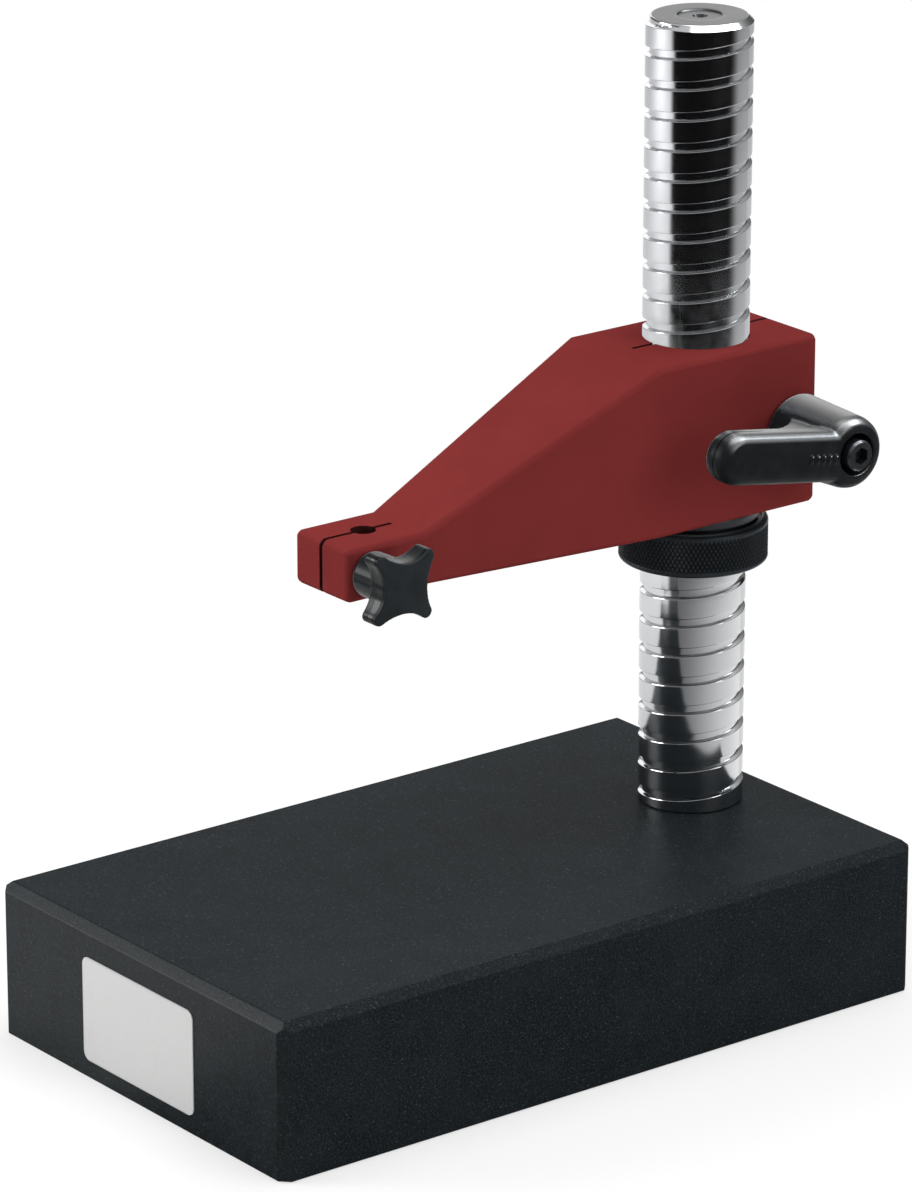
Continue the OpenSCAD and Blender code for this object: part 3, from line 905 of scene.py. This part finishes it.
@dataclass
class GroovedColumn:
    """The steel column with one continuous helical groove."""

    axis: Numbers = COLUMN_AXIS[:2]
    radius: float = 17.0
    foot: float = 51.0
    top: float = 311.0
    pitch: float = 9.8
    groove_start: float = 58.2
    columns: int = 144
    chamfer: float = 1.8
    foot_chamfer: float = 0.5
    foot_hole: Numbers = (6.0, 26.0)
    recess: Numbers = (7.2, 0.5)
    centre_hole: Numbers = (1.2, 7.0)
    section: Tuple[Numbers, Numbers] = (
        (0.0, 1.02, 1.14, 1.30, 1.47, 1.56, 1.68, 2.6, 3.8, 4.9),
        (15.6, 15.61, 15.74, 16.22, 16.73, 16.92, 16.99, 17.0, 17.0, 17.0),
    )

    def reach(self, angle: np.ndarray, height: np.ndarray) -> np.ndarray:
        """Radius of the grooved surface.

        It is the section at |((z - s - p a / 2 pi + p / 2) mod p) - p / 2|, the height away from the
        middle of the groove at the angle a, for a groove that starts at s and rises p in one turn.

        Args:
            angle: Angle round the axis in radians.
            height: Height in millimetres.

        Returns:
            Radius in millimetres.
        """
        off = height - self.groove_start - self.pitch * angle / (2 * np.pi) + self.pitch / 2
        return np.interp(np.abs(np.mod(off, self.pitch) - self.pitch / 2), *self.section)

    def flank(self, low: float, high: float) -> np.ndarray:
        """Rows that follow the groove, z = s + v + p (m + a / 2 pi), held between two heights.

        Args:
            low: Lowest height.
            high: Greatest height.

        Returns:
            Radius, angle and height for each row and column.
        """
        half = np.array(self.section[0])
        steps = np.concatenate([-half[::-1], half[1:-1]])
        first = math.floor((low - self.groove_start) / self.pitch) - 1
        last = math.ceil((high - self.groove_start) / self.pitch) + 1
        turns = np.arange(first, last)[:, None] * self.pitch
        base = (turns + steps[None, :]).reshape(-1, 1) + self.groove_start
        angle = np.linspace(0.0, 2 * np.pi, self.columns + 1)[None, :]
        height = np.clip(base + self.pitch * angle / (2 * np.pi), low, high)
        angle = angle + 0 * height
        return np.stack([self.reach(angle, height), angle, height], axis=-1)

    def level(self, rows: Sequence[Numbers]) -> np.ndarray:
        """Level rows, each no wider than the grooved surface at its height.

        Args:
            rows: Radius and height of each row.

        Returns:
            Radius, angle and height for each row and column.
        """
        angle = np.linspace(0.0, 2 * np.pi, self.columns + 1)[None, :]
        reach, height = np.array(rows)[:, :1], np.array(rows)[:, 1:] + 0 * angle
        reach = np.minimum(reach, self.reach(angle, height))
        return np.stack([reach, angle + 0 * reach, height], axis=-1)

    def build(self) -> None:
        """Stack foot, flank, chamfer and top face into one closed surface."""
        r, h, c, f = self.radius, self.top, self.chamfer, self.foot_chamfer
        (bore, deep), (dish, sunk), (point, end) = self.foot_hole, self.recess, self.centre_hole
        foot = [(0.0, self.foot + deep), (bore, self.foot + deep), (bore, self.foot), (r - f, self.foot)]
        foot += [(r - 0.6 * f, self.foot + 0.4 * f), (r, self.foot + f)]
        slope = np.linspace(0.0, c - 0.25, 6)
        crown = [(r - s, h - c + s) for s in slope] + [(r - c + 0.08, h - 0.08), (r - c - 0.15, h)]
        face = [(reach, h) for reach in np.linspace(r - c - 1, dish + 0.2, 5)]
        face += [(dish, h - 0.05), (dish - 0.4, h - sunk), (4.5, h - sunk), (2 * point, h - sunk - 0.02)]
        face += [(point, h - sunk - 2.0), (point, h - end), (0.0, h - end)]
        rows = [self.level(foot), self.flank(self.foot + f, h - c), self.level(crown + face)]
        polar = np.concatenate(rows)
        x = self.axis[0] + polar[..., 0] * np.cos(polar[..., 1])
        y = self.axis[1] + polar[..., 0] * np.sin(polar[..., 1])
        column = surface("grooved_column", [Grid(np.stack([x, y, polar[..., 2]], axis=-1))], Rim.CRISP)
        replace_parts(column, "column")
        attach(COLUMN_STEEL.dress(column), "stand")
        LOG.info("grooved column: %d faces", len(column.data.polygons))


@dataclass
class KnurledNut:
    """The adjusting nut with its diamond grip and inner rib, and the ring that the arm rests on."""

    axis: Numbers = COLUMN_AXIS[:2]
    bottom: float = 133.2
    height: float = 15.0
    radius: float = 24.0
    bore: float = 17.4
    diamonds: int = 104
    row: float = 1.3
    depth: float = 0.42
    blunt: float = 0.15
    runout: float = 0.5
    grip: Numbers = (134.6, 145.7)
    chamfer: float = 0.9
    lip: float = 2.2
    groove: Numbers = (2.4, 3.4)
    groove_depth: float = 1.4
    rib_start: float = 2.4
    rib_section: Tuple[Numbers, ...] = ((16.15, -0.64), (18.3, -1.09), (18.3, 1.09), (16.15, 0.64))
    ring_radius: float = 21.3
    ring_height: float = 3.0
    ring_edge: float = 0.3
    ring_columns: int = 192

    def knurl(self, angle: np.ndarray, height: np.ndarray) -> np.ndarray:
        """Depth of the grip's grooves.

        With u = n a / 2 pi + z / 2 q and v = n a / 2 pi - z / 2 q, for rows that are q apart, the depth
        follows w, the greater of the two triangle waves |2 frac(u) - 1| and |2 frac(v) - 1|, as
        (1 + b) w - b held between 0 and 1, which makes the tips blunt by b, and it runs out at both ends.

        Args:
            angle: Angle round the axis in radians.
            height: Height in millimetres.

        Returns:
            Depth in millimetres.
        """
        along = self.diamonds * angle / (2 * np.pi)
        up = (height - self.grip[0]) / (2 * self.row)
        waves = [np.abs(2 * np.mod(along + s * up, 1.0) - 1) for s in (1, -1)]
        deep = np.clip((1 + self.blunt) * np.maximum(*waves) - self.blunt, 0, 1)
        ends = np.minimum(height - self.grip[0], self.grip[1] - height)
        return self.depth * deep * np.clip(ends / self.runout, 0, 1)

    def rib(self) -> Grid:
        """The inner rib: its section carried along z = s + p a / 2 pi for one turn.

        Returns:
            A grid whose ends are drawn together to a point in the middle of the section.
        """
        column = GroovedColumn()
        start = (self.bottom + self.rib_start - column.groove_start) / column.pitch * 2 * np.pi
        angle = np.linspace(start, start + 2 * np.pi, 49)[None, :]
        section = np.array(self.rib_section)
        reach = section[:, :1] + 0 * angle
        rise = section[:, 1:] + column.groove_start + column.pitch * angle / (2 * np.pi)
        x, y = self.axis[0] + reach * np.cos(angle), self.axis[1] + reach * np.sin(angle)
        points = np.stack([x, y, rise], axis=-1)
        middle = points.mean(axis=0, keepdims=True) + 0 * points
        return Grid(np.concatenate([middle[:, :1], points, middle[:, -1:]], axis=1), True, False)

    def wall(self) -> Grid:
        """The nut's closed wall, with the grip worked into its outer side.

        Returns:
            A turned profile with extra rows at r on the outer side, moved inwards by the grip's depth.
        """
        low, high, r, c = self.bottom, self.bottom + self.height, self.radius, self.chamfer
        outer, inner = (r - g for g in self.groove)
        floor = high - self.groove_depth
        corners = [
            (self.bore, low, 0.4), (r - c, low, 0.6), (r, low + 0.8, 0.4),
            (r, high - 1.9, 0.5), (r - c, high - 0.6, 0.6), (r - self.lip, high - 0.3, 0.25),
            (outer, floor, 0.1), (inner, floor, 0.1), (inner - 0.2, high, 0.2),
            (self.bore, high, 0.3),
        ]
        profile = rounded(corners)
        levels = np.arange(self.grip[0], self.grip[1], self.row / 4)
        below = profile[:, 1] < self.grip[0]
        split = int(np.nonzero((profile[:, 0] > r - 0.01) & below)[0][-1]) + 1
        rows = np.insert(profile, split, np.stack([np.full_like(levels, r), levels], axis=-1), axis=0)
        grid = turned(rows, self.axis, self.diamonds * 8)
        offset = grid.points[..., :2] - np.array(self.axis)
        angle = np.arctan2(offset[..., 1], offset[..., 0])
        sunk = self.knurl(angle, grid.points[..., 2]) * (np.linalg.norm(offset, axis=-1) > r - 0.01)
        grid.points[..., 0] -= sunk * np.cos(angle)
        grid.points[..., 1] -= sunk * np.sin(angle)
        return grid

    def ring(self) -> Grid:
        """The plain ring above the nut.

        Returns:
            A turned profile with rounded edges.
        """
        low, high = self.bottom + self.height, self.bottom + self.height + self.ring_height
        r, e = self.ring_radius, self.ring_edge
        corners = [
            (self.bore, low, 0.2), (r - e, low, 0.25), (r, low + e, 0.2),
            (r, high - e, 0.25), (r - e, high, 0.2), (self.bore, high, 0.2),
        ]
        return turned(rounded(corners), self.axis, self.ring_columns)

    def build(self) -> None:
        """Make the nut and the ring, each in the place of its CAD node."""
        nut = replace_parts(surface("knurled_nut", [self.wall(), self.rib()], Rim.CRISP), "adjusting_nut")
        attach(NUT_BLACK.dress(nut), "nut")
        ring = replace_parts(surface("plain_ring", [self.ring()], Rim.CRISP), "thrust_ring")
        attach(RING_BLACK.dress(ring), "carrier")
        LOG.info("knurled nut: %d faces, ring: %d faces", len(nut.data.polygons), len(ring.data.polygons))


@dataclass
class ClampingArm:
    """The slit casting that carries the gauge."""

    flat_weight: int = 90

    def build(self) -> None:
        """Copy the casting with smooth roundings and flat faces, and dress its inserts.

        Mirror reflections leave the arm out, so that the column shows no red strip under it.
        """
        arm = copy_of("support_arm", "cast_arm", Rim.CRISP)
        flats = arm.modifiers.new("flats", "WEIGHTED_NORMAL")
        flats.keep_sharp = True
        flats.weight = self.flat_weight
        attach(ARM_RED.dress(arm), "arm")
        arm.visible_glossy = False
        for node in ("rear_thread_insert", "nose_thread_insert"):
            BRASS.dress(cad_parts[node])
        LOG.info("clamping arm: %d faces", len(arm.data.polygons))


@dataclass
class ClampingLever:
    """The lever with its screw, spring and toothed insert."""

    voxel: float = 0.42
    rounds: int = 4
    axis: Numbers = LEVER_AXIS[1:]
    angle: float = 9.4
    drop: float = 1.1
    face: float = 53.2
    first_rib: float = 8.9
    rib_step: float = 2.55
    rib_count: int = 5
    rib_size: Numbers = (1.1, 2.8, 0.7)
    rib_sink: float = 0.15
    slant: float = 0.3
    pull: float = 3.5

    def ribs(self) -> np.ndarray:
        """The grip ribs, each a low dome h (1 - u^4)(1 - v^4) over its slanted foot, with a closed back.

        Returns:
            Points in millimetres with one grid of rows and columns for each rib.
        """
        wide, tall, high = self.rib_size
        u, v = np.meshgrid(np.linspace(-1, 1, 13), np.linspace(-1, 1, 17))
        along = -(self.first_rib + self.rib_step * np.arange(self.rib_count))[:, None, None]
        along = along + 0.5 * wide * u + self.slant * 0.5 * tall * v
        across = 0.5 * tall * v - self.drop + 0 * along
        sink = self.rib_sink
        out = self.face - sink + (high + sink) * (1 - u**4) * (1 - v**4) + 0 * along
        a = math.radians(self.angle)
        y = self.axis[0] + along * math.cos(a) + across * math.sin(a)
        z = self.axis[1] - along * math.sin(a) + across * math.cos(a)
        domes = np.stack([out, y, z], axis=-1)
        backs = 0.5 * (domes[:, :1, :1] + domes[:, -1:, -1:])
        closed = np.pad(0 * domes, ((0, 0), (1, 1), (1, 1), (0, 0))) + backs
        closed[:, 1:-1, 1:-1] = domes
        return closed

    def spring(self) -> None:
        """Copy the spring; the real one is pressed against the screw's head as the handle is pulled."""
        low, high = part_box("lever_spring")
        spring = copy_of("lever_spring", "handle_spring", Rim.SOFT)
        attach(SPRING_STEEL.dress(spring), "clamp")
        anchor = (high[0], self.axis[0] * MM, self.axis[1] * MM)
        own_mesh(spring)
        LOG.info("handle spring: %d faces", len(spring.data.polygons))

    def build(self) -> None:
        """Copy the handle, soften it as a casting, add its ribs, and dress the clamp's hardware."""
        handle = cast(copy_of("lever_handle", "cast_lever", Rim.SOFT), self.voxel, self.rounds, Rim.SOFT)
        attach(LEVER_BLACK.dress(handle), "handle")
        ribs = surface("grip_ribs", [Grid(points) for points in self.ribs()], Rim.SOFT)
        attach(LEVER_BLACK.dress(ribs), "handle")
        for node in ("lever_insert", "lever_stud", "lever_washer"):
            PLAIN_STEEL.dress(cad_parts[node])
        self.spring()
        SCREW_BLACK.dress(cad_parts["lever_screw"])
        LOG.info("clamping lever: %d faces", len(handle.data.polygons))


@dataclass
class CrossKnob:
    """The cross-grip knob with its bush and stud."""

    voxel: float = 0.24
    rounds: int = 10

    def build(self) -> None:
        """Copy the knob, soften it as a moulding, and dress what is inside it."""
        knob = cast(copy_of("cross_knob", "moulded_knob", Rim.SOFT), self.voxel, self.rounds, Rim.SOFT)
        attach(KNOB_BLACK.dress(knob), "knob")
        BRASS.dress(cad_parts["knob_bush"])
        PLAIN_STEEL.dress(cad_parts["knob_stud"])
        LOG.info("cross knob: %d faces", len(knob.data.polygons))


def aimed(place: Numbers, towards: Vector) -> Matrix:
    """The matrix of a lamp or camera.

    Args:
        place: Where it stands, in metres.
        towards: The direction that it faces.

    Returns:
        A matrix that turns its -Z to that direction, with Z of the frame upwards.
    """
    return Matrix.Translation(place) @ towards.to_track_quat("-Z", "Y").to_matrix().to_4x4()


@dataclass(frozen=True)
class SoftBox:
    """An area lamp: place, aim and size in metres, and power in watts."""

    name: str
    place: Numbers
    aim: Numbers
    size: Numbers
    power: float
    mirrored: bool = False
    tint: Numbers = (1.0, 1.0, 1.0)

    def hang(self) -> None:
        """Add the lamp; a mirrored one is a card that only shows in reflections."""
        lamp = bpy.data.lights.new(self.name, "AREA")
        lamp.shape = "RECTANGLE"
        lamp.size, lamp.size_y = self.size
        lamp.energy = self.power
        lamp.color = self.tint
        box = placed(self.name, lamp)
        box.visible_diffuse = not self.mirrored
        box.matrix_world = aimed(self.place, Vector(self.aim) - Vector(self.place))


@dataclass(frozen=True)
class DarkZone:
    """A part of the floor that is dark in reflections.

    Its edges are soft steps in the azimuth and the distance seen from the column's axis, in radians
    and millimetres: turn_in and reach_in where it starts, turn_out and reach_out where it ends.
    """

    share: float
    turn_in: Optional[Numbers] = None
    turn_out: Optional[Numbers] = None
    reach_in: Optional[Numbers] = None
    reach_out: Optional[Numbers] = None

    def mask(self, azimuth: Value, reach: Value) -> Value:
        """How dark the zone makes the floor.

        Args:
            azimuth: Azimuth seen from the column.
            reach: Distance from the column's axis.

        Returns:
            The product of the zone's edges and its share.
        """
        starts = [(azimuth, self.turn_in), (reach, self.reach_in)]
        ends = [(azimuth, self.turn_out), (reach, self.reach_out)]
        parts = [number.rise(*edge) for number, edge in starts if edge]
        parts += [number.fall(*edge) for number, edge in ends if edge]
        return math.prod(parts, start=self.share)


COOL = (0.87, 0.945, 1.0)
BOXES = (
    SoftBox("overhead_box", (0.15, 0.3, 1.6), (0.0, 0.05, 0.1), (1.2, 1.2), 15.2),
    SoftBox("left_box", (-0.88, -1.05, 0.6), (0.0, 0.0, 0.1), (0.7, 0.7), 14.6),
    SoftBox("right_box", (1.7, 0.4, 0.7), (0.0, 0.05, 0.15), (1.1, 1.0), 10.4),
    SoftBox("back_box", (0.5, 1.0, 1.27), (0.03, 0.08, 0.17), (0.7, 0.45), 15.0, True, COOL),
    SoftBox("glint_box", (0.6, 0.62, 1.47), (0.0, 0.09, 0.2), (0.12, 0.12), 1.2, True, COOL),
    SoftBox("far_box", (-1.15, 0.8, 0.6), (0.0, 0.0, 0.1), (1.0, 0.9), 3.4),
)
BESIDE = DarkZone(0.84, turn_in=(0.30, 0.36), turn_out=(0.2, 3.1), reach_out=(440.0, 520.0))
AHEAD = DarkZone(0.93, turn_in=(-0.15, 0.05), turn_out=(0.33, 0.37), reach_out=(440.0, 520.0))
LEFT = DarkZone(0.22, turn_out=(-0.2, 0.0), reach_out=(300.0, 500.0))
RING = DarkZone(0.97, turn_in=(0.30, 0.36), turn_out=(1.9, 2.6), reach_in=(390.0, 440.0))
PATCH = DarkZone(0.95, (-1.5, -1.3), (-0.3, -0.2), (450.0, 490.0), (600.0, 670.0))
RIGHT = DarkZone(0.2, turn_in=(2.2, 2.7), reach_in=(520.0, 620.0))


@dataclass
class Studio:
    """Pale floor, soft light, a black flag and the camera."""

    azimuth: float = 52.269
    elevation: float = 18.92
    place: Numbers = (1.46182, -1.133098, 0.773161)
    lens: float = 189.54
    sensor: float = 36.0
    clip: Numbers = (0.1, 40.0)
    white: Numbers = (1.0, 1.0, 1.0)
    dark: Numbers = (0.01, 0.01, 0.011)
    flag: Numbers = (0.006, 0.006, 0.0065)
    near: Numbers = (0.86, 0.86, 0.86)
    far: Numbers = (0.62, 0.62, 0.63)
    tone_span: Numbers = (300.0, 800.0)
    floor_size: float = 24.0
    floor_drop: float = 0.3
    clear: float = 0.6
    fade: Numbers = (150.0, 420.0)
    room: Numbers = (0.12, 0.6)
    overhead: Numbers = (0.2, 0.95)
    wall_radius: float = 560.0
    wall_span: Numbers = (-14.0, 165.0)
    wall_height: float = 260.0
    wall_soft: Tuple[Numbers, Numbers] = ((-136.0, -30.0), (340.0, 660.0))
    zones: Tuple[DarkZone, ...] = (RIGHT, BESIDE, AHEAD, LEFT, RING, PATCH)
    boxes: Tuple[SoftBox, ...] = BOXES
    column: Numbers = COLUMN_AXIS

    @staticmethod
    def coat(piece: bpy.types.Object, name: str) -> Shader:
        """Give a part of the studio its own material.

        Args:
            piece: The floor or the flag.
            name: The material's name.

        Returns:
            The material's shader, still empty.
        """
        material = bpy.data.materials.new(name)
        material.use_nodes = True
        piece.data.materials.append(material)
        return Shader(material.node_tree)

    def shadow_zones(self, shader: Shader) -> Value:
        """Where the floor is dark in reflections.

        Args:
            shader: The floor's shader.

        Returns:
            The greatest of the zones' masks.
        """
        ahead = {0: shader.axis(Axis.X), 1: self.column[1] - shader.axis(Axis.Y)}
        azimuth = shader.add("ShaderNodeMath", {"operation": "ARCTAN2"}, ahead)
        reach = shader.radius(Axis.Z, self.column)
        return functools.reduce(operator.or_, (zone.mask(azimuth, reach) for zone in self.zones))

    def floor(self) -> None:
        """A wide floor that shows white to the camera and keeps part of the shadow."""
        drop = (0.0, 0.0, -self.floor_drop * MM)
        bpy.ops.mesh.primitive_grid_add(
            size=self.floor_size, x_subdivisions=2, y_subdivisions=2, location=drop
        )
        ground = bpy.context.active_object
        ground.name = "studio_floor"
        shader = self.coat(ground, "studio_white")
        reach = shader.radius(Axis.Z, (0.0, 0.0, 0.0))
        tone = shader.tint(reach.rise(*self.tone_span), self.near, self.far)
        tone = shader.tint(shader.ray(Ray.GLOSSY) * self.shadow_zones(shader), tone, self.dark)
        paper = shader.add("ShaderNodeBsdfDiffuse", {}, {"Color": tone})
        glow = shader.add("ShaderNodeEmission", {}, {"Color": (*self.white, 1.0), "Strength": 1.0})
        shown = shader.ray(Ray.CAMERA) * (self.clear + (1.0 - self.clear) * reach.rise(*self.fade))
        mixed = shader.add("ShaderNodeMixShader", {}, {0: shown, 1: paper, 2: glow})
        shader.add("ShaderNodeOutputMaterial", {}, {"Surface": mixed})

    def sky(self) -> None:
        """World light: white to the camera, and otherwise a soft room that is brighter overhead."""
        world = bpy.data.worlds.new("studio_room")
        bpy.context.scene.world = world
        world.use_nodes = True
        shader = Shader(world.node_tree)
        heading = shader.add("ShaderNodeTexCoord", {}, {}, "Generated")
        up = shader.add("ShaderNodeSeparateXYZ", {}, {"Vector": heading}, Axis.Z)
        level = self.room[0] + self.room[1] * up.rise(*self.overhead)
        glow = shader.add("ShaderNodeBackground", {}, {"Color": (*self.white, 1.0), "Strength": 1.0})
        room = shader.add("ShaderNodeBackground", {}, {"Color": (*self.white, 1.0), "Strength": level})
        mixed = shader.add("ShaderNodeMixShader", {}, {0: shader.ray(Ray.CAMERA), 1: room, 2: glow})
        shader.add("ShaderNodeOutputWorld", {}, {"Surface": mixed})

    def dark_wall(self) -> None:
        """Stand a round black flag, which only reflections see, on the camera's side of the column.

        It is (R sin a, y - R cos a, z) for azimuths a from end to end and z up to its height, and it
        fades in along X at its left end and out along Y at its right end.
        """
        azimuth = np.radians(np.linspace(*self.wall_span, 49))[None, :]
        height = np.array([0.0, self.wall_height])[:, None]
        x = self.wall_radius * np.sin(azimuth) + 0 * height
        y = self.column[1] - self.wall_radius * np.cos(azimuth) + 0 * height
        wall = surface("dark_wall", [Grid(np.stack([x, y, height + 0 * azimuth], axis=-1))], Rim.SOFT)
        shader = self.coat(wall, "dark_wall")
        left, right = self.wall_soft
        veil = shader.axis(Axis.X).rise(*left) * shader.axis(Axis.Y).fall(*right)
        shader.close(self.flag, 0.9, Alpha=veil, Specular_IOR_Level=0.0)
        wall.visible_camera = False
        wall.visible_diffuse = False
        wall.visible_shadow = False

    def camera(self) -> None:
        """Set the camera where the photograph was taken from."""
        a, e = math.radians(self.azimuth), math.radians(self.elevation)
        back = Vector((math.sin(a) * math.cos(e), -math.cos(a) * math.cos(e), math.sin(e)))
        lens = bpy.data.cameras.new("stand_camera")
        lens.sensor_width = self.sensor
        lens.lens = self.lens
        lens.clip_start, lens.clip_end = self.clip
        camera = placed("stand_camera", lens)
        camera.matrix_world = aimed(self.place, -back)
        bpy.context.scene.camera = camera

    def build(self) -> None:
        """Set up floor, world, lamps, black flag and camera."""
        self.floor()
        self.sky()
        for box in self.boxes:
            box.hang()
        self.dark_wall()
        self.camera()
        bpy.context.scene.view_settings.view_transform = "Standard"
        LOG.info("studio: floor, room, %d boxes, black flag and camera", len(self.boxes))


def main() -> None:
    """Build and dress the stand from its plate up, then the studio."""
    logging.basicConfig(level=logging.INFO, format="%(message)s")
    pieces = [StonePlate(), GroovedColumn(), KnurledNut(), ClampingArm(), ClampingLever(), CrossKnob()]
    for piece in pieces:
        piece.build()
    Studio().build()


if __name__ == "__main__":
    main()
